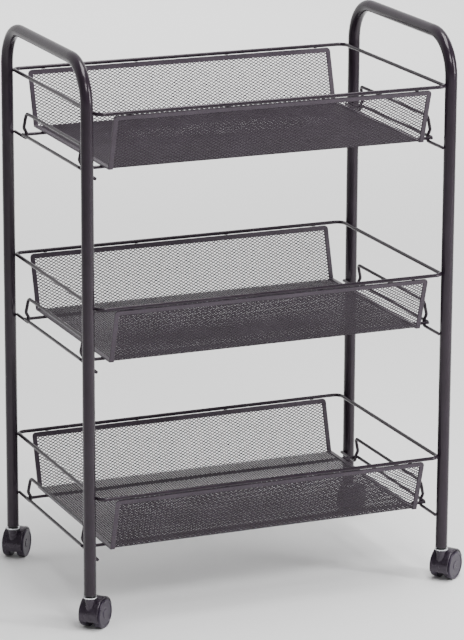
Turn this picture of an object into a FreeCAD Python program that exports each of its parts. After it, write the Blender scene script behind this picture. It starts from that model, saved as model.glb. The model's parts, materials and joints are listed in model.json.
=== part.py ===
import FreeCAD, Part
import math
import os
from types import SimpleNamespace

import Sketcher

# A three-tier utility cart: two bent side tubes, three mesh baskets, four twin-wheel casters.
# Lengths are in millimetres and angles in degrees. The floor is z = 0, the frame's centre is
# x = y = 0, the tubes stand to the left and right (X) and the long basket walls face -Y and +Y.

DRIVING_SIZES = {
    # Side tubes: spacing of the post axes, rise of the handles over the top rim, and the tube itself
    "post_spacing_x": "420",
    "post_spacing_y": "250",
    "handle_rise": "58.5",
    "tube_diameter": "13.4",
    "tube_wall": "1",
    "tube_bend_radius": "45",
    "tube_end_height": "40.4",
    # Tiers: height of the guard wires' feet on the first tier, and the step to the next tier
    "first_tier_height": "78.5",
    "tier_pitch": "209.5",
    # Guard, stay and cross wires; rises are measured from the guard wire's foot
    "support_wire_diameter": "3.6",
    "guard_overrun": "0.5",
    "guard_leg_inset": "38",
    "guard_rise": "28",
    "guard_bend_radius": "5",
    "guard_kink": "3.2",
    "guard_kink_rise": "12",
    "stay_rise": "4.3",
    "cross_wire_setback": "4.5",
    # Rim wires
    "rim_wire_diameter": "4.1",
    "rim_rise": "69",
    "rim_corner_radius": "9",
    # Mesh troughs; the cells are drawn coarser than the real mesh so that the solids stay small
    "basket_width": "266",
    "floor_width": "230",
    "mesh_length": "366",
    "mesh_thickness": "1",
    "mesh_cell_length": "30",
    "mesh_cell_width": "17.5",
    "mesh_strand": "3.5",
    "hem_width": "5.4",
    "hem_thickness": "2",
    "hem_corner_radius": "4.5",
    "tab_height": "0.7",
    "tab_width": "4",
    "tab_thickness": "1.6",
    "tab_end_inset": "18",
    # Casters
    "wheel_diameter": "32",
    "wheel_width": "8.8",
    "wheel_rounding": "1.4",
    "hub_diameter": "11",
    "face_recess": "0.5",
    "caster_trail": "12",
    "fork_width": "7.4",
    "side_clearance": "0.4",
    "hood_width": "22.4",
    "hood_wall": "1.5",
    "hood_clearance": "1.5",
    "hood_skirt_height": "10.5",
    "hood_rounding": "0.9",
    "boss_diameter": "11",
    "axle_diameter": "4",
    "stem_diameter": "7",
    "collar_diameter": "15",
    "collar_thickness": "1.2",
    "socket_flange": "2.4",
    "socket_chamfer": "1.6",
    "socket_depth": "28",
    # How far each caster is turned about its stem as the cart stands
    "turn_front_left": "47",
    "turn_front_right": "54",
    "turn_back_left": "38",
    "turn_back_right": "46",
    # Fits
    "touch_gap": "0.1",
    "running_clearance": "0.05",
}
CASTERS = {"front_left": (-1, -1), "front_right": (1, -1), "back_left": (-1, 1), "back_right": (1, 1)}
TIERS = ("bottom", "middle", "top")
SIDES = {"left": -1, "right": 1}
FACES = {"front": -1, "back": 1}
TABS_PER_WALL = 4
UP = FreeCAD.Vector(0, 0, 1)


class Size:
    """A number together with the formula that ties it to the sheet."""

    def __init__(self, value, text):
        self.value = value
        self.text = text

    def __add__(self, other):
        return combine(self, "+", other)

    def __radd__(self, other):
        return combine(other, "+", self)

    def __sub__(self, other):
        return combine(self, "-", other)

    def __rsub__(self, other):
        return combine(other, "-", self)

    def __mul__(self, other):
        return combine(self, "*", other)

    def __rmul__(self, other):
        return combine(other, "*", self)

    def __truediv__(self, other):
        return combine(self, "/", other)

    def __neg__(self):
        return combine(0, "-", self)


def as_size(number):
    """Give a plain number the form of a size."""
    if isinstance(number, Size):
        return number
    return Size(float(number), repr(float(number)))


def combine(first, sign, second):
    """Join two sizes by one arithmetic sign, in value and in formula."""
    first = as_size(first)
    second = as_size(second)
    results = {
        "+": first.value + second.value,
        "-": first.value - second.value,
        "*": first.value * second.value,
        "/": first.value / second.value if second.value else 0.0,
    }
    return Size(results[sign], f"({first.text} {sign} {second.text})")


def root(number):
    return Size(math.sqrt(number.value), f"sqrt({number.text})")


def sine(angle):
    return Size(math.sin(math.radians(angle.value)), f"sin({angle.text})")


def cosine(angle):
    return Size(math.cos(math.radians(angle.value)), f"cos({angle.text})")


def bind(item, prop, formula):
    """Tie a property of an object to a formula on the sheet."""
    item.setExpression(prop, as_size(formula).text)


def place(item, x=0, y=0, z=0, turn=None):
    """Tie an object's position, and its turn about the vertical if given, to formulas."""
    if turn is not None:
        item.Placement = FreeCAD.Placement(FreeCAD.Vector(), FreeCAD.Rotation(UP, turn.value))
        bind(item, "Placement.Rotation.Angle", turn)
    for axis, formula in zip("xyz", (x, y, z)):
        bind(item, "Placement.Base." + axis, formula)


def vector(*point):
    """A point given as sizes or plain numbers."""
    return FreeCAD.Vector(*[as_size(number).value for number in point])


# Sketches and the features made from them

def new_body(name):
    body = doc.addObject("PartDesign::Body", name)
    body.Label = name
    return body


def new_sketch(body, name, role, offset=0):
    """A sketch on one of the body's own planes, moved along the plane's normal."""
    plane = next(item for item in body.Origin.OriginFeatures if item.Role == role)
    sketch = body.newObject("Sketcher::SketchObject", name)
    sketch.AttachmentSupport = (plane, [""])
    sketch.MapMode = "FlatFace"
    bind(sketch, "AttachmentOffset.Base.z", offset)
    return sketch


def constrain(sketch, formula, kind, *where):
    """Add a constraint whose value follows a formula."""
    formula = as_size(formula)
    index = sketch.addConstraint(Sketcher.Constraint(kind, *where, formula.value))
    bind(sketch, f"Constraints[{index}]", formula)


def pin_point(sketch, item, end, point):
    """Tie one point of a sketch item to its two coordinates."""
    constrain(sketch, point[0], "DistanceX", -1, 1, item, end)
    constrain(sketch, point[1], "DistanceY", -1, 1, item, end)


def draw_circle(sketch, centre, radius):
    item = sketch.addGeometry(Part.Circle(vector(*centre), UP, as_size(radius).value))
    pin_point(sketch, item, 3, centre)
    constrain(sketch, radius, "Radius", item)


def draw_arc(sketch, start, finish, radius, centre):
    """Draw an arc of less than half a turn; gives the item and which of its ends come first and last."""
    middle = vector(*centre)
    angles = [math.atan2(point.y - middle.y, point.x - middle.x) for point in (start, finish)]
    anticlockwise = (angles[1] - angles[0]) % (2 * math.pi) < math.pi
    if not anticlockwise:
        angles.reverse()
    item = sketch.addGeometry(Part.ArcOfCircle(Part.Circle(middle, UP, radius.value), *angles))
    constrain(sketch, radius, "Radius", item)
    return (item, 1, 2) if anticlockwise else (item, 2, 1)


def draw_path(sketch, points, arcs=None, closed=True):
    """Draw runs from point to point; arcs gives (radius, centre) for the runs that are bent."""
    arcs = arcs or {}
    run_count = len(points) if closed else len(points) - 1
    runs = []
    for number in range(run_count):
        start = vector(*points[number])
        finish = vector(*points[(number + 1) % len(points)])
        if number in arcs:
            runs.append(draw_arc(sketch, start, finish, *arcs[number]))
        else:
            runs.append((sketch.addGeometry(Part.LineSegment(start, finish)), 1, 2))
    for number in range(run_count if closed else run_count - 1):
        item, _, last = runs[number]
        following, first, _ = runs[(number + 1) % run_count]
        sketch.addConstraint(Sketcher.Constraint("Coincident", item, last, following, first))
    for (item, first, _), point in zip(runs, points):
        pin_point(sketch, item, first, point)
    if not closed:
        pin_point(sketch, runs[-1][0], runs[-1][2], points[-1])


def add_pad(body, sketch, length, midplane=False):
    pad = body.newObject("PartDesign::Pad", "pad")
    pad.Profile = sketch
    bind(pad, "Length", length)
    pad.Midplane = midplane
    body.Tip = pad
    return pad


def add_pocket(body, sketch, depth=None, reverse=False, both_ways=False):
    """Cut right through or to a depth, along the sketch's negative normal or, reversed, its normal."""
    pocket = body.newObject("PartDesign::Pocket", "pocket")
    pocket.Profile = sketch
    pocket.Reversed = reverse
    pocket.Midplane = both_ways
    if depth is None:
        pocket.Type = "ThroughAll"
    else:
        bind(pocket, "Length", depth)
    body.Tip = pocket
    return pocket


def add_revolution(body, sketch, axis):
    revolution = body.newObject("PartDesign::Revolution", "revolution")
    revolution.Profile = sketch
    revolution.ReferenceAxis = (sketch, [axis])
    revolution.Angle = 360
    body.Tip = revolution
    return revolution


def add_pipe(body, section, path):
    pipe = body.newObject("PartDesign::AdditivePipe", "pipe")
    pipe.Profile = section
    pipe.Spine = (path, [f"Edge{number}" for number in range(1, len(path.Shape.Edges) + 1)])
    body.Tip = pipe
    return pipe


def is_arc(edge, radius):
    return abs(getattr(edge.Curve, "Radius", 0) - radius.value) < 1e-6


def round_edges(body, feature, wanted, rounding):
    """Round off the edges of a feature that the test picks out."""
    names = [f"Edge{number}" for number, edge in enumerate(feature.Shape.Edges, 1) if wanted(edge)]
    fillet = body.newObject("PartDesign::Fillet", "rounding")
    fillet.Base = (feature, names)
    bind(fillet, "Radius", rounding)
    body.Tip = fillet
    return fillet


# Shapes that have no feature of their own

def bent_wire(points, bend_radii, diameter):
    """Sweep a round wire along straight runs with round bends at the inner points."""
    edges = []
    start = points[0]
    for before, corner, after, radius in zip(points, points[1:], points[2:], bend_radii):
        towards = (corner - before).normalize()
        away = (after - corner).normalize()
        half_turn = towards.getAngle(away) / 2
        setback = radius * math.tan(half_turn)
        arc_start = corner - towards * setback
        arc_end = corner + away * setback
        inward = (away - towards).normalize()
        arc_middle = corner + inward * (radius / math.cos(half_turn) - radius)
        edges.append(Part.LineSegment(start, arc_start).toShape())
        edges.append(Part.Arc(arc_start, arc_middle, arc_end).toShape())
        start = arc_end
    edges.append(Part.LineSegment(start, points[-1]).toShape())
    path = Part.Wire(edges)
    section = Part.Wire([Part.makeCircle(diameter / 2, points[0], points[1] - points[0])])
    swept = path.makePipeShell([section], True, True)
    expected = math.pi * diameter ** 2 / 4 * path.Length
    if abs(swept.Volume / expected - 1) > 0.01:
        raise RuntimeError("a bent wire's volume is off")
    return swept


def net_panel(length, width):
    """A flat sheet with staggered diamond gaps, centred on the origin."""
    columns = max(2, round(length / size.mesh_cell_length.value))
    rows = max(2, round(2 * width / size.mesh_cell_width.value))
    cell_x = length / columns
    cell_y = 2 * width / rows
    strand = size.mesh_strand.value
    slope = math.atan2(cell_y, cell_x)
    gap_x = cell_x / 2 - strand / 2 / math.sin(slope)
    gap_y = cell_y / 2 - strand / 2 / math.cos(slope)
    gaps = []
    for row in range(1, rows):
        centre_y = row * cell_y / 2 - width / 2
        short_row = row % 2 == 0
        for column in range(columns - short_row):
            centre_x = (column + 0.5 + 0.5 * short_row) * cell_x - length / 2
            corners = ((gap_x, 0), (0, gap_y), (-gap_x, 0), (0, -gap_y), (gap_x, 0))
            gaps.append(Part.makePolygon([vector(centre_x + x, centre_y + y, 0) for x, y in corners]))
    outline = Part.makePolygon([
        vector(x * length / 2, y * width / 2, 0)
        for x, y in ((-1, -1), (1, -1), (1, 1), (-1, 1), (-1, -1))
    ])
    sheet_face = Part.makeFace([outline] + gaps, "Part::FaceMakerBullseye")
    thickness = size.mesh_thickness.value
    sheet_face.translate(vector(0, 0, -thickness / 2))
    return sheet_face.extrude(vector(0, 0, thickness))


def add_shape(name, shape, rotation=None):
    """Put a shape made in code into the document."""
    item = doc.addObject("Part::Feature", name)
    item.Label = name
    item.Shape = shape
    if rotation:
        item.Placement = FreeCAD.Placement(FreeCAD.Vector(), rotation)
    return item


# The document, its sheet, and the sizes that follow from the driving ones

doc = FreeCAD.newDocument("utility_cart")
sheet = doc.addObject("Spreadsheet::Sheet", "Sizes")
for row_number, (alias, text) in enumerate(DRIVING_SIZES.items(), 1):
    sheet.set(f"A{row_number}", alias)
    sheet.set(f"B{row_number}", text)
    sheet.setAlias(f"B{row_number}", alias)
doc.recompute()

size = SimpleNamespace(**{
    alias: Size(float(sheet.get(alias)), "Sizes." + alias) for alias in DRIVING_SIZES
})
half_x = size.post_spacing_x / 2
half_y = size.post_spacing_y / 2
tube_radius = size.tube_diameter / 2
bore_radius = tube_radius - size.tube_wall
support_radius = size.support_wire_diameter / 2
wire_pitch = size.support_wire_diameter + size.touch_gap
foot_inset = tube_radius + support_radius + size.touch_gap
leg_y = half_y - size.guard_leg_inset
rim_radius = size.rim_wire_diameter / 2
rim_inset = tube_radius + rim_radius + size.touch_gap
half_mesh = size.mesh_length / 2
half_floor = size.floor_width / 2
half_basket = size.basket_width / 2

# Heights above a tier's guard foot: the cross wires lie on the feet and the floor on the cross wires
cross_rise = wire_pitch
floor_rise = cross_rise + support_radius + size.touch_gap + size.hem_thickness / 2
hem_top_rise = size.rim_rise - rim_radius - size.tab_height
wall_run = half_basket - half_floor
wall_rise = hem_top_rise - floor_rise
wall_length = root(wall_run * wall_run + wall_rise * wall_rise)
wall_sine = wall_run / wall_length
wall_cosine = wall_rise / wall_length
wall_lean = math.degrees(math.atan2(wall_run.value, wall_rise.value))

tier_heights = [size.first_tier_height + number * size.tier_pitch for number in range(len(TIERS))]
frame_height = tier_heights[-1] + size.rim_rise + size.handle_rise
subparts = []


# Side tubes

def make_side_tube(name, side):
    body = new_body(name)
    top = frame_height - tube_radius
    bend = size.tube_bend_radius
    shoulder = top - bend
    flat = half_y - bend
    path = new_sketch(body, "path", "YZ_Plane")
    draw_path(
        path,
        [(-half_y, size.tube_end_height), (-half_y, shoulder), (-flat, top),
         (flat, top), (half_y, shoulder), (half_y, size.tube_end_height)],
        {1: (bend, (-flat, shoulder)), 3: (bend, (flat, shoulder))},
        closed=False,
    )
    section = new_sketch(body, "section", "XY_Plane", size.tube_end_height)
    draw_circle(section, (0, -half_y), tube_radius)
    draw_circle(section, (0, -half_y), bore_radius)
    doc.recompute()
    add_pipe(body, section, path)
    place(body, side * half_x)
    return body


# Guard, stay and cross wires

def guard_shape():
    """A left-hand guard wire; x = 0 is the plane of its feet and z = 0 their height."""
    half_path = [
        vector(0, -(half_y + size.guard_overrun), 0),
        vector(0, -leg_y, 0),
        vector(0, -leg_y, size.guard_kink_rise / 2),
        vector(-size.guard_kink, -leg_y, size.guard_kink_rise),
        vector(0, -leg_y, size.guard_rise),
    ]
    mirrored = [FreeCAD.Vector(point.x, -point.y, point.z) for point in reversed(half_path)]
    bend = size.guard_bend_radius.value
    half_bends = [wire_pitch.value, bend, bend, bend]
    return bent_wire(half_path + mirrored, half_bends + half_bends[::-1], size.support_wire_diameter.value)


def make_guard_wire(name, side, height):
    turned = FreeCAD.Rotation(UP, 180) if side > 0 else None
    item = add_shape(name, guard_shape(), turned)
    place(item, side * (half_x - foot_inset), 0, height)
    return item


def make_straight_wire(name, axis, half_length, x, y, z):
    """A round wire along X or Y, centred on the given point."""
    item = doc.addObject("Part::Cylinder", name)
    item.Label = name
    turns = {"x": FreeCAD.Rotation(FreeCAD.Vector(0, 1, 0), 90),
             "y": FreeCAD.Rotation(FreeCAD.Vector(1, 0, 0), -90)}
    item.Placement = FreeCAD.Placement(FreeCAD.Vector(), turns[axis])
    bind(item, "Radius", support_radius)
    bind(item, "Height", 2 * half_length)
    if axis == "x":
        place(item, x - half_length, y, z)
    else:
        place(item, x, y - half_length, z)
    return item


# Baskets

def make_rim_wire(name, height):
    body = new_body(name)
    x = half_x - rim_inset
    y = half_basket
    corner = size.rim_corner_radius
    path = new_sketch(body, "path", "XY_Plane")
    draw_path(
        path,
        [(-(x - corner), -y), (x - corner, -y), (x, -(y - corner)), (x, y - corner),
         (x - corner, y), (-(x - corner), y), (-x, y - corner), (-x, -(y - corner))],
        {1: (corner, (x - corner, -(y - corner))), 3: (corner, (x - corner, y - corner)),
         5: (corner, (-(x - corner), y - corner)), 7: (corner, (-(x - corner), -(y - corner)))},
    )
    section = new_sketch(body, "section", "YZ_Plane", -(x - corner))
    draw_circle(section, (-y, 0), rim_radius)
    doc.recompute()
    add_pipe(body, section, path)
    place(body, 0, 0, height + size.rim_rise)
    return body


def make_hem(name, height):
    """The trough's edging: a folded band cut away where the mesh shows."""
    body = new_body(name)
    skin = size.hem_thickness / 2
    fold = skin * (1 - wall_sine) / wall_cosine
    outer = [(half_floor + fold, floor_rise - skin),
             (half_basket + skin * wall_cosine, hem_top_rise - skin * wall_sine)]
    inner = [(half_basket - skin * wall_cosine, hem_top_rise + skin * wall_sine),
             (half_floor - fold, floor_rise + skin)]
    right = outer + inner
    left = [(-y, z) for y, z in reversed(right)]
    section = new_sketch(body, "section", "YZ_Plane")
    draw_path(section, right + left)
    doc.recompute()
    band = add_pad(body, section, size.mesh_length, midplane=True)
    opening_x = half_mesh - size.hem_width
    opening_z = hem_top_rise - size.hem_width * wall_cosine
    wall_opening = new_sketch(body, "wall_opening", "XZ_Plane")
    draw_path(wall_opening, [
        (-opening_x, 0), (opening_x, 0), (opening_x, opening_z), (-opening_x, opening_z),
    ])
    doc.recompute()
    cut = add_pocket(body, wall_opening, both_ways=True)
    doc.recompute()
    if not cut.Shape.Volume < 0.3 * band.Shape.Volume:
        raise RuntimeError("the hem's openings were not cut")

    def at_top_corner(edge):
        box = edge.BoundBox
        at_end = box.XLength < 0.01 and abs(abs(box.XMin) - half_mesh.value) < 0.01
        return at_end and box.ZMin > opening_z.value

    round_edges(body, cut, at_top_corner, size.hem_corner_radius)
    doc.recompute()
    place(body, 0, 0, height)
    return body


def make_wall_mesh(name, face, height):
    """A wall panel, leaning outwards from the fold up to the hem's lower edge."""
    start = size.mesh_thickness * 0.7
    finish = wall_length - size.hem_width - size.touch_gap
    panel = net_panel(panel_length.value, (finish - start).value)
    item = add_shape(name, panel, FreeCAD.Rotation(FreeCAD.Vector(1, 0, 0), 90 - face * wall_lean))
    middle = (start + finish) / 2
    place(item, 0, face * (half_floor + middle * wall_sine), height + floor_rise + middle * wall_cosine)
    return item


def make_floor_mesh(name, height):
    width = size.floor_width - 2 * size.mesh_thickness
    item = add_shape(name, net_panel(panel_length.value, width.value))
    place(item, 0, 0, height + floor_rise)
    return item


def make_tabs(name, height):
    """The ties that fill the gap between both hem edges and the rim wire."""
    last = half_mesh - size.tab_end_inset
    clear = size.hem_thickness / 2 * wall_sine + size.touch_gap
    tall = size.tab_height - clear - size.touch_gap / 2
    ties = []
    for face in FACES.values():
        for number in range(TABS_PER_WALL):
            x = last * (2 * number / (TABS_PER_WALL - 1) - 1)
            corner = vector(x - size.tab_width / 2, face * half_basket - size.tab_thickness / 2,
                            hem_top_rise + clear)
            ties.append(Part.makeBox(size.tab_width.value, size.tab_thickness.value, tall.value, corner))
    item = add_shape(name, Part.makeCompound(ties))
    place(item, 0, 0, height)
    return item


# Casters, drawn with the stem on the Z axis, the axle along X and the trail towards +Y

wheel_radius = size.wheel_diameter / 2
axle_radius = size.axle_diameter / 2
stem_radius = size.stem_diameter / 2
boss_radius = size.boss_diameter / 2
collar_radius = size.collar_diameter / 2
well_radius = wheel_radius + size.hood_clearance
hood_radius = well_radius + size.hood_wall
wheel_inner = size.fork_width / 2 + size.side_clearance
wheel_outer = wheel_inner + size.wheel_width
collar_top = size.tube_end_height - size.socket_flange - size.touch_gap
collar_bottom = collar_top - size.collar_thickness
boss_top = collar_bottom - size.side_clearance
stem_bottom = size.wheel_diameter + size.side_clearance
stem_top = size.tube_end_height + size.socket_depth - size.touch_gap
panel_length = size.mesh_length - 2 * (size.hem_width + size.touch_gap)


def make_hood(name):
    """Fork, mudguard and stem boss in one."""
    body = new_body(name)
    axle = (size.caster_trail, wheel_radius)
    skirt_drop = wheel_radius - size.hood_skirt_height
    skirt_y = axle[0] - root(hood_radius * hood_radius - skirt_drop * skirt_drop)
    hub = size.hub_diameter / 2
    tail_y = axle[0] + root(hood_radius * hood_radius - hub * hub)
    crown = (axle[0], axle[1] + hood_radius)
    profile = new_sketch(body, "guard_profile", "YZ_Plane")
    draw_path(
        profile,
        [(skirt_y, size.hood_skirt_height), crown, (tail_y, axle[1] + hub),
         (axle[0] + hub, axle[1] + hub), (axle[0] + hub, size.hood_skirt_height)],
        {0: (hood_radius, axle), 1: (hood_radius, axle)},
    )
    guard = add_pad(body, profile, size.hood_width, midplane=True)
    doc.recompute()
    round_edges(body, guard, lambda edge: is_arc(edge, hood_radius), size.hood_rounding)
    bridge = new_sketch(body, "bridge_profile", "XY_Plane", wheel_radius)
    draw_path(bridge, [
        (-boss_radius, 0), (boss_radius, 0), (boss_radius, axle[0]), (-boss_radius, axle[0]),
    ])
    add_pad(body, bridge, hood_radius)
    boss = new_sketch(body, "boss_profile", "XY_Plane", wheel_radius)
    draw_circle(boss, (0, 0), boss_radius)
    block = add_pad(body, boss, boss_top - wheel_radius)
    doc.recompute()
    rounded = round_edges(
        body, block, lambda edge: is_arc(edge, boss_radius) and edge.isClosed(), size.hood_rounding)
    doc.recompute()
    for number, side in enumerate(SIDES.values()):
        well = new_sketch(body, f"wheel_well_{number}", "YZ_Plane", side * size.fork_width / 2)
        draw_circle(well, axle, well_radius)
        add_pocket(body, well, reverse=side > 0)
    stem_hole = new_sketch(body, "stem_hole", "XY_Plane", boss_top)
    draw_circle(stem_hole, (0, 0), stem_radius + size.running_clearance)
    add_pocket(body, stem_hole, boss_top - stem_bottom + size.side_clearance)
    axle_hole = new_sketch(body, "axle_hole", "YZ_Plane")
    draw_circle(axle_hole, axle, axle_radius + size.running_clearance / 2)
    bored = add_pocket(body, axle_hole, both_ways=True)
    doc.recompute()
    if not bored.Shape.Volume < 0.6 * rounded.Shape.Volume:
        raise RuntimeError("a hood's wheel wells were not cut")
    return body


def make_wheel(name, side):
    """One wheel on its own axis: a rounded disc with a recessed outer face and a blind bore."""
    body = new_body(name)
    bore = axle_radius + size.running_clearance
    bore_end = (wheel_inner + wheel_outer) / 2 + size.wheel_width / 4
    hub = size.hub_diameter / 2
    recess = wheel_outer - size.face_recess
    lip = wheel_radius - 2 * size.wheel_rounding
    outline = [
        (wheel_inner, bore), (wheel_inner, wheel_radius), (wheel_outer, wheel_radius), (wheel_outer, lip),
        (recess, lip - size.face_recess), (recess, hub), (wheel_outer, hub - size.face_recess),
        (wheel_outer, 0), (bore_end, 0), (bore_end, bore),
    ]
    profile = new_sketch(body, "profile", "XZ_Plane")
    draw_path(profile, [(side * x, radius) for x, radius in outline])
    turned = add_revolution(body, profile, "H_Axis")
    doc.recompute()
    round_edges(body, turned, lambda edge: is_arc(edge, wheel_radius), size.wheel_rounding)
    return body


def make_axle(name):
    body = new_body(name)
    section = new_sketch(body, "section", "YZ_Plane")
    draw_circle(section, (size.caster_trail, wheel_radius), axle_radius)
    add_pad(body, section, wheel_inner + wheel_outer, midplane=True)
    return body


def make_stem(name):
    body = new_body(name)
    profile = new_sketch(body, "profile", "XZ_Plane")
    draw_path(profile, [
        (0, stem_bottom), (stem_radius, stem_bottom), (stem_radius, collar_bottom),
        (collar_radius, collar_bottom), (collar_radius, collar_top), (stem_radius, collar_top),
        (stem_radius, stem_top), (0, stem_top),
    ])
    add_revolution(body, profile, "V_Axis")
    return body


def make_sockets(name):
    """The inserts in the four tube ends: a sleeve with a flange under the tube."""
    end = size.tube_end_height
    fit = size.running_clearance
    below = end - size.socket_flange
    outline = [
        (stem_radius + fit, below), (tube_radius - size.socket_chamfer, below),
        (tube_radius, below + size.socket_chamfer), (tube_radius, end - fit),
        (bore_radius - fit, end - fit), (bore_radius - fit, end + size.socket_depth),
        (stem_radius + fit, end + size.socket_depth),
    ]
    corners = [vector(radius, 0, z) for radius, z in outline]
    sleeve = Part.Face(Part.makePolygon(corners + corners[:1])).revolve(FreeCAD.Vector(), UP, 360)
    copies = []
    for sign_x, sign_y in CASTERS.values():
        copies.append(sleeve.translated(vector(sign_x * half_x, sign_y * half_y, 0)))
    return add_shape(name, Part.makeCompound(copies))


def make_caster(place_name, sign_x, sign_y):
    """All the pieces of one caster, turned about its stem."""
    angle = getattr(size, "turn_" + place_name)
    x = sign_x * half_x
    y = sign_y * half_y
    axle_x = x + size.caster_trail * sine(angle)
    axle_y = y + size.caster_trail * cosine(angle)
    pieces = [
        make_stem(place_name + "_stem"),
        make_hood(place_name + "_hood"),
        make_axle(place_name + "_axle"),
    ]
    for piece in pieces:
        place(piece, x, y, 0, -angle)
    for side_name, side in SIDES.items():
        wheel = make_wheel(f"{place_name}_{side_name}_wheel", side)
        place(wheel, axle_x, axle_y, wheel_radius, -angle)
        pieces.append(wheel)
    return pieces


# Assembly

for side_name, side in SIDES.items():
    subparts.append(make_side_tube(f"{side_name}_side_tube", side))

for tier_name, height in zip(TIERS, tier_heights):
    for side_name, side in SIDES.items():
        subparts.append(make_guard_wire(f"{tier_name}_{side_name}_guard_wire", side, height))
        stay_x = side * (half_x - foot_inset + wire_pitch)
        subparts.append(make_straight_wire(
            f"{tier_name}_{side_name}_stay_wire", "y", leg_y + support_radius - size.touch_gap,
            stay_x, 0, height + size.stay_rise))
    for face_name, face in FACES.items():
        subparts.append(make_straight_wire(
            f"{tier_name}_{face_name}_cross_wire", "x", half_x - size.cross_wire_setback,
            0, face * (leg_y + wire_pitch), height + cross_rise))
        subparts.append(make_wall_mesh(f"{tier_name}_{face_name}_mesh", face, height))
    subparts.append(make_floor_mesh(f"{tier_name}_floor_mesh", height))
    subparts.append(make_rim_wire(f"{tier_name}_rim_wire", height))
    subparts.append(make_hem(f"{tier_name}_hem", height))
    subparts.append(make_tabs(f"{tier_name}_tabs", height))

subparts.append(make_sockets("caster_sockets"))
for place_name, (sign_x, sign_y) in CASTERS.items():
    subparts.extend(make_caster(place_name, sign_x, sign_y))

doc.recompute()

# Check every object, then write one file per sub-part

for item in doc.Objects:
    if "Invalid" in item.State or "Error" in item.State:
        raise RuntimeError(f"{item.Name} failed to compute")
for item in subparts:
    if item.Shape.isNull() or not item.Shape.isValid() or not item.Shape.Solids:
        raise RuntimeError(f"{item.Label} has no valid solid")
for item in subparts:
    item.Shape.exportStep(f"parts/{item.Label}.step")
print(len(subparts), "sub-parts written")
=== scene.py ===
import json
import math

import bpy
import numpy as np
from mathutils import Matrix, Vector


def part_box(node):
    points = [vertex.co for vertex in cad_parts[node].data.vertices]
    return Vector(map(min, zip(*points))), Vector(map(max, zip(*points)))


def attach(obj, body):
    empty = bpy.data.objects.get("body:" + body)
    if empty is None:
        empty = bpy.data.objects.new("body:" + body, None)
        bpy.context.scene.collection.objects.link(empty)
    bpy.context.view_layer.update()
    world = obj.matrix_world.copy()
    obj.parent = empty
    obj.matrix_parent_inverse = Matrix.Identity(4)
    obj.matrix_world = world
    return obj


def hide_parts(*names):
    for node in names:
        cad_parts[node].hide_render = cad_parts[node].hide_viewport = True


# A three-tier mesh utility cart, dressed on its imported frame. Lengths are in metres.

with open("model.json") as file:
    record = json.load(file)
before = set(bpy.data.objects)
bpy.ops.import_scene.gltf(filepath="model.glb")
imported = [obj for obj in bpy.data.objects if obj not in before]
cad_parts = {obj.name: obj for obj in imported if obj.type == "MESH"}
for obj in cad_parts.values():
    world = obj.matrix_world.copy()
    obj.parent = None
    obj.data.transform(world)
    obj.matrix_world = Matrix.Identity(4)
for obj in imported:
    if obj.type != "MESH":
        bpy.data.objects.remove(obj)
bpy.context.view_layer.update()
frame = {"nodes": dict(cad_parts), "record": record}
nodes = frame["nodes"]

MM = 0.001
TIERS = ("bottom", "middle", "top")
FRAME_BODY = "frame"

# The expanded mesh: the pitch of its diamonds along X and along the folded section, and its strands
CELL_LENGTH = 6.0 * MM
CELL_WIDTH = 3.5 * MM
STRAND_WIDTH = 0.94 * MM
STRAND_THICKNESS = 0.40 * MM
STRAND_TILT = 0.06 * MM

# The mesh's folds, how far its floor falls from them to the cross wires, how far it then hangs between
# the wires, and how much of its edge the hem hides
FOLD_RADIUS = 3.0 * MM
FLOOR_DIP = 0.7 * MM
FLOOR_SAG = 3.0 * MM
HEM_COVER = 2.0 * MM

# The softened edges of the hems
HEM_ROUNDING = 0.6 * MM
HEM_SEGMENTS = 3
WELD_REACH = 0.001 * MM

# The two kinds of dark finish: the colour of the gloss, how far the roughness swings, the grains of the
# tone, of the roughness and of the skin, each as size and detail, and the skin's depth and strength
SATIN_COAT = {
    "gloss": (1.0, 0.93, 0.98),
    "swing": 0.06,
    "grains": ((28 * MM, 3), (0.7 * MM, 2), (1.1 * MM, 3)),
    "skin": (0.06 * MM, 0.5),
}
MOULDED_PLASTIC = {
    "gloss": (0.97, 0.90, 1.0),
    "swing": 0.04,
    "grains": ((10 * MM, 3), (7 * MM, 2), (0.35 * MM, 2)),
    "skin": (0.03 * MM, 0.4),
}

# The dark finishes: kind, darkest and lightest colour, roughness and shine
DARK_FINISHES = {
    "powder_coat": (SATIN_COAT, (0.013, 0.0085, 0.0135), (0.020, 0.0135, 0.021), 0.20, 0.34),
    "mesh_coat": (SATIN_COAT, (0.020, 0.0145, 0.0205), (0.030, 0.0225, 0.0315), 0.46, 0.23),
    # The hems' coat is lighter than the coat on the mesh and the tubes: a painted highlight.
    "hem_painted_highlight_coat": (SATIN_COAT, (0.034, 0.026, 0.036), (0.048, 0.037, 0.050), 0.30, 0.34),
    "hood_plastic": (MOULDED_PLASTIC, (0.017, 0.012, 0.019), (0.027, 0.020, 0.030), 0.26, 0.50),
    "wheel_plastic": (MOULDED_PLASTIC, (0.020, 0.014, 0.025), (0.030, 0.022, 0.037), 0.30, 0.36),
    "socket_plastic": (MOULDED_PLASTIC, (0.012, 0.012, 0.012), (0.020, 0.020, 0.020), 0.45, 0.50),
}

# Zinc plate: its colours and roughness, the grains of its clouds and of its rings as size and detail,
# how the rings are squeezed along each axis, and their depth and strength
ZINC_COLOURS = ((0.62, 0.63, 0.66), (0.82, 0.83, 0.85))
ZINC_ROUGHNESS = (0.22, 0.38)
ZINC_CLOUDS = (3 * MM, 3)
ZINC_RINGS = (1.0 * MM, 2, (0.2, 0.2, 6.0))
ZINC_SKIN = (0.02 * MM, 0.4)

# The part of a noise's values over which a ramp goes from one end to the other
NOISE_SPAN = (0.3, 0.7)

# The floor: between which distances it fades away, its two greys, the grain of their clouds as size
# and detail, and its roughness
FLOOR_FADE = (4.0, 7.5)
FLOOR_GREYS = (0.93, 0.95)
FLOOR_CLOUDS = (0.8, 2)
FLOOR_ROUGHNESS = 0.8

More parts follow.
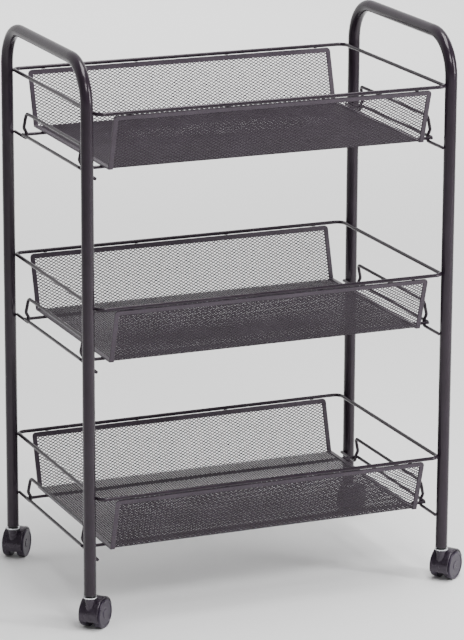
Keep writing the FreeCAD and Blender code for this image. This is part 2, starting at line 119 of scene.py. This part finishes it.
# The studio: how bright it is on the camera's side and behind the cart, between which Y parts of a
# direction the one turns into the other, and how soon the ground whitens below the horizon
ROOM_LIGHT = 0.25
BACKDROP_LIGHT = 1.1
BACKDROP_SPAN = (0.0, 0.6)
GROUND_SHARPNESS = 12

# The softboxes: name, place, target, size, brightness and spread in degrees
CART_CENTRE = (0, 0, 0.35)
SOFTBOXES = (
    ("overhead", (0.35, -0.25, 2.4), CART_CENTRE, (1.6, 0.9), 13.0, 180),
    ("front_right", (1.7, -1.6, 1.15), CART_CENTRE, (0.4, 1.3), 24.0, 180),
    ("front_key", (-0.1, -1.9, 2.0), CART_CENTRE, (0.5, 0.6), 23.0, 180),
    ("back_wash", (0.9, 3.4, 2.6), (1.0, 3.6, 0), (4.0, 2.4), 2.4, 110),
)

# The image's height in pixels. It is the longer side, so the sensor's width is fitted to it.
IMAGE_HEIGHT = 640
SENSOR_WIDTH = 36.0

# The camera: where it stands, which way it looks, its focal length in pixels and how far it sees
CAMERA_PLACE = Vector((-1.4251, -3.3886, 1.2990))
CAMERA_YAW = math.radians(22.91)
CAMERA_PITCH = math.radians(15.31)
CAMERA_ROLL = math.radians(0.25)
CAMERA_FOCAL_PIXELS = 3431
CAMERA_REACH = 100


# Materials

def new_material(name):
    """A material with its node tree and its shader."""
    material = bpy.data.materials.new(name)
    material.use_nodes = True
    return material, material.node_tree, material.node_tree.nodes["Principled BSDF"]


def noise(tree, size, detail, stretch=(1, 1, 1)):
    """The value of a noise whose grains are about the given size, in object space."""
    place = tree.nodes.new("ShaderNodeTexCoord")
    scale = tree.nodes.new("ShaderNodeMapping")
    scale.inputs["Scale"].default_value = stretch
    grains = tree.nodes.new("ShaderNodeTexNoise")
    grains.inputs["Scale"].default_value = 1 / size
    grains.inputs["Detail"].default_value = detail
    tree.links.new(place.outputs["Object"], scale.inputs["Vector"])
    tree.links.new(scale.outputs["Vector"], grains.inputs["Vector"])
    return grains.outputs["Fac"]


def ramp(tree, value, low, high, span=NOISE_SPAN):
    """Turn a value into a colour between two."""
    colours = tree.nodes.new("ShaderNodeValToRGB")
    for element, place, colour in zip(colours.color_ramp.elements, span, (low, high)):
        element.position = place
        element.color = (*colour, 1)
    tree.links.new(value, colours.inputs["Fac"])
    return colours.outputs["Color"]


def grey_ramp(tree, value, low, high, span=NOISE_SPAN):
    """Turn a value into a grey between two."""
    return ramp(tree, value, (low, low, low), (high, high, high), span)


def add_bump(tree, shader, heights, depth, strength):
    """Raise the surface by a noise."""
    bump = tree.nodes.new("ShaderNodeBump")
    bump.inputs["Strength"].default_value = strength
    bump.inputs["Distance"].default_value = depth
    tree.links.new(heights, bump.inputs["Height"])
    tree.links.new(bump.outputs["Normal"], shader.inputs["Normal"])


def dark_finish(name, kind, dark, light, roughness, shine):
    """A powder coat or a plastic: faintly cloudy tone, tinted gloss, patchy roughness and a fine skin."""
    material, tree, shader = new_material(name)
    clouds, patches, skin = [noise(tree, *grain) for grain in kind["grains"]]
    tone = ramp(tree, clouds, dark, light)
    rubbed = grey_ramp(tree, patches, roughness - kind["swing"], roughness + kind["swing"])
    tree.links.new(tone, shader.inputs["Base Color"])
    tree.links.new(rubbed, shader.inputs["Roughness"])
    shader.inputs["Specular IOR Level"].default_value = shine
    shader.inputs["Specular Tint"].default_value = (*kind["gloss"], 1)
    add_bump(tree, shader, skin, *kind["skin"])
    return material


def zinc_plate(name):
    """Bright zinc on turned steel: fine rings round the vertical, faintly cloudy."""
    material, tree, shader = new_material(name)
    rings = noise(tree, *ZINC_RINGS)
    tree.links.new(ramp(tree, noise(tree, *ZINC_CLOUDS), *ZINC_COLOURS), shader.inputs["Base Color"])
    tree.links.new(grey_ramp(tree, rings, *ZINC_ROUGHNESS), shader.inputs["Roughness"])
    shader.inputs["Metallic"].default_value = 1.0
    add_bump(tree, shader, rings, *ZINC_SKIN)
    return material


MATERIALS = {name: dark_finish(name, *look) for name, look in DARK_FINISHES.items()}
MATERIALS["zinc_steel"] = zinc_plate("zinc_steel")


def round_edges(piece):
    """Round the edges of a folded strip, whose mesh has each face apart, so that they catch the light."""
    weld = piece.modifiers.new("weld", "WELD")
    weld.merge_threshold = WELD_REACH
    rounding = piece.modifiers.new("rounding", "BEVEL")
    rounding.width = HEM_ROUNDING
    rounding.segments = HEM_SEGMENTS
    rounding.limit_method = "ANGLE"
    rounding.harden_normals = True


def dress_nodes():
    """Give every CAD node the finish of its slot. The hems get a lighter copy of the coat, a painted
    highlight, and rounded edges.
    """
    for part in frame["record"]["subparts"]:
        piece = nodes[part["node"]]
        # The hems take the lighter coat, a painted highlight, instead of their slot's finish.
        finish = "hem_painted_highlight_coat" if part["node"].endswith("_hem") else part["material_slot"]
        piece.data.materials.clear()
        piece.data.materials.append(MATERIALS[finish])
        if finish == "hem_painted_highlight_coat":
            round_edges(piece)


# Expanded mesh

class Trough:
    """The folded section of one basket's mesh: its floor, its rounded folds and its leaning walls."""

    def __init__(self, tier):
        rim_low, rim_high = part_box(f"{tier}_rim_wire")
        hem_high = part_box(f"{tier}_hem")[1]
        floor_low, floor_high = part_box(f"{tier}_floor_mesh")
        sheet = floor_high.z - floor_low.z
        rim_radius = (rim_high.z - rim_low.z) / 2
        half_floor = floor_high.y + sheet
        run = rim_high.y - rim_radius - half_floor
        self.floor_z = (floor_low.z + floor_high.z) / 2
        rise = hem_high.z - self.floor_z
        self.turn = math.atan2(rise, run)
        self.flat = half_floor - FOLD_RADIUS * math.tan(self.turn / 2)
        self.bend = FOLD_RADIUS * self.turn
        corner_rise = FOLD_RADIUS * (1 - math.cos(self.turn))
        self.half_section = self.flat + self.bend + (rise - corner_rise) / math.sin(self.turn) - HEM_COVER
        self.half_length = hem_high.x - HEM_COVER
        self.support_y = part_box(f"{tier}_back_cross_wire")[0].y

    def place(self, x, along, lift):
        """Points at a distance along the section from the floor's middle, lifted off the sheet inwards."""
        side = np.where(along < 0, -1, 1)
        distance = np.abs(along)
        angle = np.clip((distance - self.flat) / FOLD_RADIUS, 0, self.turn)
        straight = np.minimum(distance, self.flat)
        climbed = np.maximum(distance - self.flat - self.bend, 0)
        y = straight + FOLD_RADIUS * np.sin(angle) + climbed * math.cos(self.turn) - lift * np.sin(angle)
        z = FOLD_RADIUS * (1 - np.cos(angle)) + climbed * math.sin(self.turn) + lift * np.cos(angle)
        inside = np.clip(1 - distance / self.support_y, 0, 1)
        dip = np.clip((self.flat - distance) / (self.flat - self.support_y), 0, 1)
        sag = FLOOR_SAG * np.sin(inside * math.pi / 2) ** 2 + FLOOR_DIP * dip
        z -= sag * (1 - (x / self.half_length) ** 2)
        return np.stack([x, side * y, self.floor_z + z], -1)


# A knuckle of the mesh has four corners: right, far, left, near. Each has a point on both of the sheet's
# faces, first the inner one. A strand joins two knuckles.
CORNERS = ((1, 0), (0, 1), (-1, 0), (0, -1))
RIGHT, FAR, LEFT, NEAR = range(4)
INNER, OUTER = range(2)

# The neighbours of a knuckle: steps in row and column, and the two corners that face that way
NEIGHBOURS = ((1, 1, RIGHT, FAR), (1, -1, FAR, LEFT), (-1, -1, LEFT, NEAR), (-1, 1, NEAR, RIGHT))


def opposite(corner):
    """The corner across a knuckle from the given one."""
    return (corner + 2) % len(CORNERS)


def point_of(knuckles, corner, face):
    """The numbers of the points at one corner of some knuckles, on one face of the sheet."""
    return (knuckles * len(CORNERS) + corner) * 2 + face


def flat_faces(outline):
    """Both faces of a flat bit whose outline is given as (knuckles, corner) pairs."""
    inner = np.stack([point_of(*spot, INNER) for spot in outline], 1)
    outer = np.stack([point_of(*spot, OUTER) for spot in reversed(outline)], 1)
    return [inner, outer]


def edge_face(start, end):
    """The narrow side under an outline's run from start to end."""
    corners = (*end, INNER), (*start, INNER), (*start, OUTER), (*end, OUTER)
    return np.stack([point_of(*corner) for corner in corners], 1)


def knuckle_points(trough, x, along):
    """The corners of the knuckles at some places, and where each lies on the map for baking."""
    slope = math.atan2(CELL_WIDTH, CELL_LENGTH)
    reach_x = STRAND_WIDTH / 2 / math.sin(slope)
    reach_along = STRAND_WIDTH / 2 / math.cos(slope)
    points = np.empty((len(x), len(CORNERS), 2, 3))
    spots = np.empty((len(x), len(CORNERS), 2, 2))
    for corner, (right, far) in enumerate(CORNERS):
        for face, inward in ((INNER, 1), (OUTER, -1)):
            lift = far * STRAND_TILT + inward * STRAND_THICKNESS / 2
            corner_x = x + right * reach_x
            corner_along = along + far * reach_along
            points[:, corner, face] = trough.place(corner_x, corner_along, lift)
            spots[:, corner, face, 0] = (corner_x / trough.half_length + 1) / 2
            spots[:, corner, face, 1] = (corner_along / trough.half_section + 1) / 4 + face / 2
    return points.reshape(-1, 3), spots.reshape(-1, 2)


def lattice_faces(number, own):
    """The faces of knuckles and strands, from a grid of knuckle numbers, which is -1 where there is none.

    A strand is made where at least one of its two knuckles is the panel's own.
    """
    used = number >= 0
    mine = number[own]
    faces = flat_faces([(mine, RIGHT), (mine, FAR), (mine, LEFT), (mine, NEAR)])
    padded = np.pad(number, 1, constant_values=-1)
    padded_own = np.pad(own, 1, constant_values=False)
    for row_step, column_step, first, last in NEIGHBOURS:
        shifted = np.roll(padded, (-row_step, -column_step), (0, 1))[1:-1, 1:-1]
        shifted_own = np.roll(padded_own, (-row_step, -column_step), (0, 1))[1:-1, 1:-1]
        joined = used & (shifted >= 0) & (own | shifted_own)
        if row_step > 0:
            here, there = number[joined], shifted[joined]
            far_first, far_last = opposite(first), opposite(last)
            faces += flat_faces([(here, first), (there, far_last), (there, far_first), (here, last)])
            faces.append(edge_face((here, first), (there, far_last)))
            faces.append(edge_face((there, far_first), (here, last)))
        ends = number[own & ~joined]
        faces.append(edge_face((ends, first), (ends, last)))
        lent = number[joined & ~own]
        faces.append(edge_face((lent, last), (lent, first)))
    return np.concatenate(faces)


def lattice_mesh(name, trough, rows, joined_row=None):
    """The strands and knuckles of some rows of a trough; joined_row lends its knuckles' places only."""
    half_columns = int(trough.half_length / (CELL_LENGTH / 2))
    columns = np.arange(-half_columns, half_columns + 1)
    all_rows = np.array(sorted({*rows, joined_row} - {None}))
    row_grid, column_grid = np.meshgrid(all_rows, columns, indexing="ij")
    used = (row_grid + column_grid) % 2 == 0
    number = np.full(used.shape, -1)
    number[used] = np.arange(used.sum())
    own = used & (row_grid != joined_row)

    x = column_grid[used] * CELL_LENGTH / 2
    along = row_grid[used] * CELL_WIDTH / 2
    points, spots = knuckle_points(trough, x, along)
    faces = lattice_faces(number, own)
    mesh = bpy.data.meshes.new(name)
    mesh.from_pydata(points.tolist(), [], faces.tolist())
    mesh.uv_layers.new(name="OFBake").data.foreach_set("uv", spots[faces.ravel()].ravel())
    return mesh


def add_piece(name, mesh, slot, replaced):
    """Put a mesh on the frame in the finish of a slot, in place of some CAD nodes."""
    piece = bpy.data.objects.new(name, mesh)
    bpy.context.scene.collection.objects.link(piece)
    mesh.materials.append(MATERIALS[slot])
    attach(piece, FRAME_BODY)
    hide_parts(*replaced)


def make_expanded_mesh(tier):
    """The three mesh panels of a basket. The walls join the floor's outermost rows of knuckles."""
    trough = Trough(tier)
    last_row = int(trough.half_section / (CELL_WIDTH / 2))
    fold_row = round((trough.flat + trough.bend / 2) / (CELL_WIDTH / 2))
    panels = {
        "floor": (range(-fold_row, fold_row + 1), None),
        "back": (range(fold_row + 1, last_row + 1), fold_row),
        "front": (range(-last_row, -fold_row), -fold_row),
    }
    for panel, (rows, joined_row) in panels.items():
        name = f"{tier}_{panel}_expanded_mesh"
        mesh = lattice_mesh(name, trough, rows, joined_row)
        add_piece(name, mesh, "mesh_coat", [f"{tier}_{panel}_mesh"])


# Floor, lights and camera

def dissolve(tree, shader, start, end):
    """Let a surface fade away between two distances from the origin."""
    place = tree.nodes.new("ShaderNodeTexCoord")
    distance = tree.nodes.new("ShaderNodeVectorMath")
    distance.operation = "LENGTH"
    fade = tree.nodes.new("ShaderNodeMapRange")
    fade.interpolation_type = "SMOOTHSTEP"
    fade.inputs["From Min"].default_value = start
    fade.inputs["From Max"].default_value = end
    mix = tree.nodes.new("ShaderNodeMixShader")
    nothing = tree.nodes.new("ShaderNodeBsdfTransparent")
    tree.links.new(place.outputs["Object"], distance.inputs[0])
    tree.links.new(distance.outputs["Value"], fade.inputs["Value"])
    tree.links.new(fade.outputs["Result"], mix.inputs["Fac"])
    tree.links.new(shader.outputs["BSDF"], mix.inputs[1])
    tree.links.new(nothing.outputs["BSDF"], mix.inputs[2])
    tree.links.new(mix.outputs["Shader"], tree.nodes["Material Output"].inputs["Surface"])


def make_floor():
    """A plain pale floor that fades away far from the cart."""
    half = FLOOR_FADE[1]
    corners = [(-half, -half, 0), (half, -half, 0), (half, half, 0), (-half, half, 0)]
    mesh = bpy.data.meshes.new("floor")
    mesh.from_pydata(corners, [], [(0, 1, 2, 3)])
    floor = bpy.data.objects.new("floor", mesh)
    bpy.context.scene.collection.objects.link(floor)
    material, tree, shader = new_material("pale_floor")
    pale = grey_ramp(tree, noise(tree, *FLOOR_CLOUDS), *FLOOR_GREYS)
    tree.links.new(pale, shader.inputs["Base Color"])
    shader.inputs["Roughness"].default_value = FLOOR_ROUGHNESS
    dissolve(tree, shader, *FLOOR_FADE)
    mesh.materials.append(material)


def make_world():
    """A studio with a white backdrop behind the cart, a dim room on the camera's side and white ground."""
    world = bpy.data.worlds.new("studio")
    world.use_nodes = True
    tree = world.node_tree
    direction = tree.nodes.new("ShaderNodeTexCoord")
    parts = tree.nodes.new("ShaderNodeSeparateXYZ")
    ground = tree.nodes.new("ShaderNodeMath")
    ground.operation = "MULTIPLY"
    ground.inputs[1].default_value = -GROUND_SHARPNESS
    whiter = tree.nodes.new("ShaderNodeMath")
    whiter.operation = "MAXIMUM"
    tree.links.new(direction.outputs["Generated"], parts.inputs["Vector"])
    tree.links.new(parts.outputs["Z"], ground.inputs[0])
    tree.links.new(ground.outputs["Value"], whiter.inputs[0])
    tree.links.new(parts.outputs["Y"], whiter.inputs[1])
    shade = grey_ramp(tree, whiter.outputs["Value"], ROOM_LIGHT, BACKDROP_LIGHT, BACKDROP_SPAN)
    tree.links.new(shade, tree.nodes["Background"].inputs["Color"])
    bpy.context.scene.world = world


def add_softbox(name, place, target, size, brightness, spread):
    """A rectangular light of an even brightness that the camera doesn't see."""
    data = bpy.data.lights.new(name, "AREA")
    data.shape = "RECTANGLE"
    data.size, data.size_y = size
    data.energy = brightness * math.pi * size[0] * size[1]
    data.spread = math.radians(spread)
    light = bpy.data.objects.new(name, data)
    light.location = place
    light.rotation_mode = "QUATERNION"
    light.rotation_quaternion = (Vector(target) - Vector(place)).to_track_quat("-Z", "Y")
    light.visible_camera = False
    bpy.context.scene.collection.objects.link(light)


def make_camera():
    """A camera without shift at the photograph's viewing angle."""
    data = bpy.data.cameras.new("camera")
    data.sensor_width = SENSOR_WIDTH
    data.lens = CAMERA_FOCAL_PIXELS * SENSOR_WIDTH / IMAGE_HEIGHT
    data.clip_end = CAMERA_REACH
    camera = bpy.data.objects.new("camera", data)
    turn = Matrix.Rotation(-CAMERA_YAW, 4, "Z") @ Matrix.Rotation(math.pi / 2 - CAMERA_PITCH, 4, "X")
    camera.matrix_world = Matrix.Translation(CAMERA_PLACE) @ turn @ Matrix.Rotation(CAMERA_ROLL, 4, "Z")
    bpy.context.scene.collection.objects.link(camera)
    bpy.context.scene.camera = camera


dress_nodes()
for tier in TIERS:
    make_expanded_mesh(tier)
make_floor()
make_world()
for softbox in SOFTBOXES:
    add_softbox(*softbox)
make_camera()
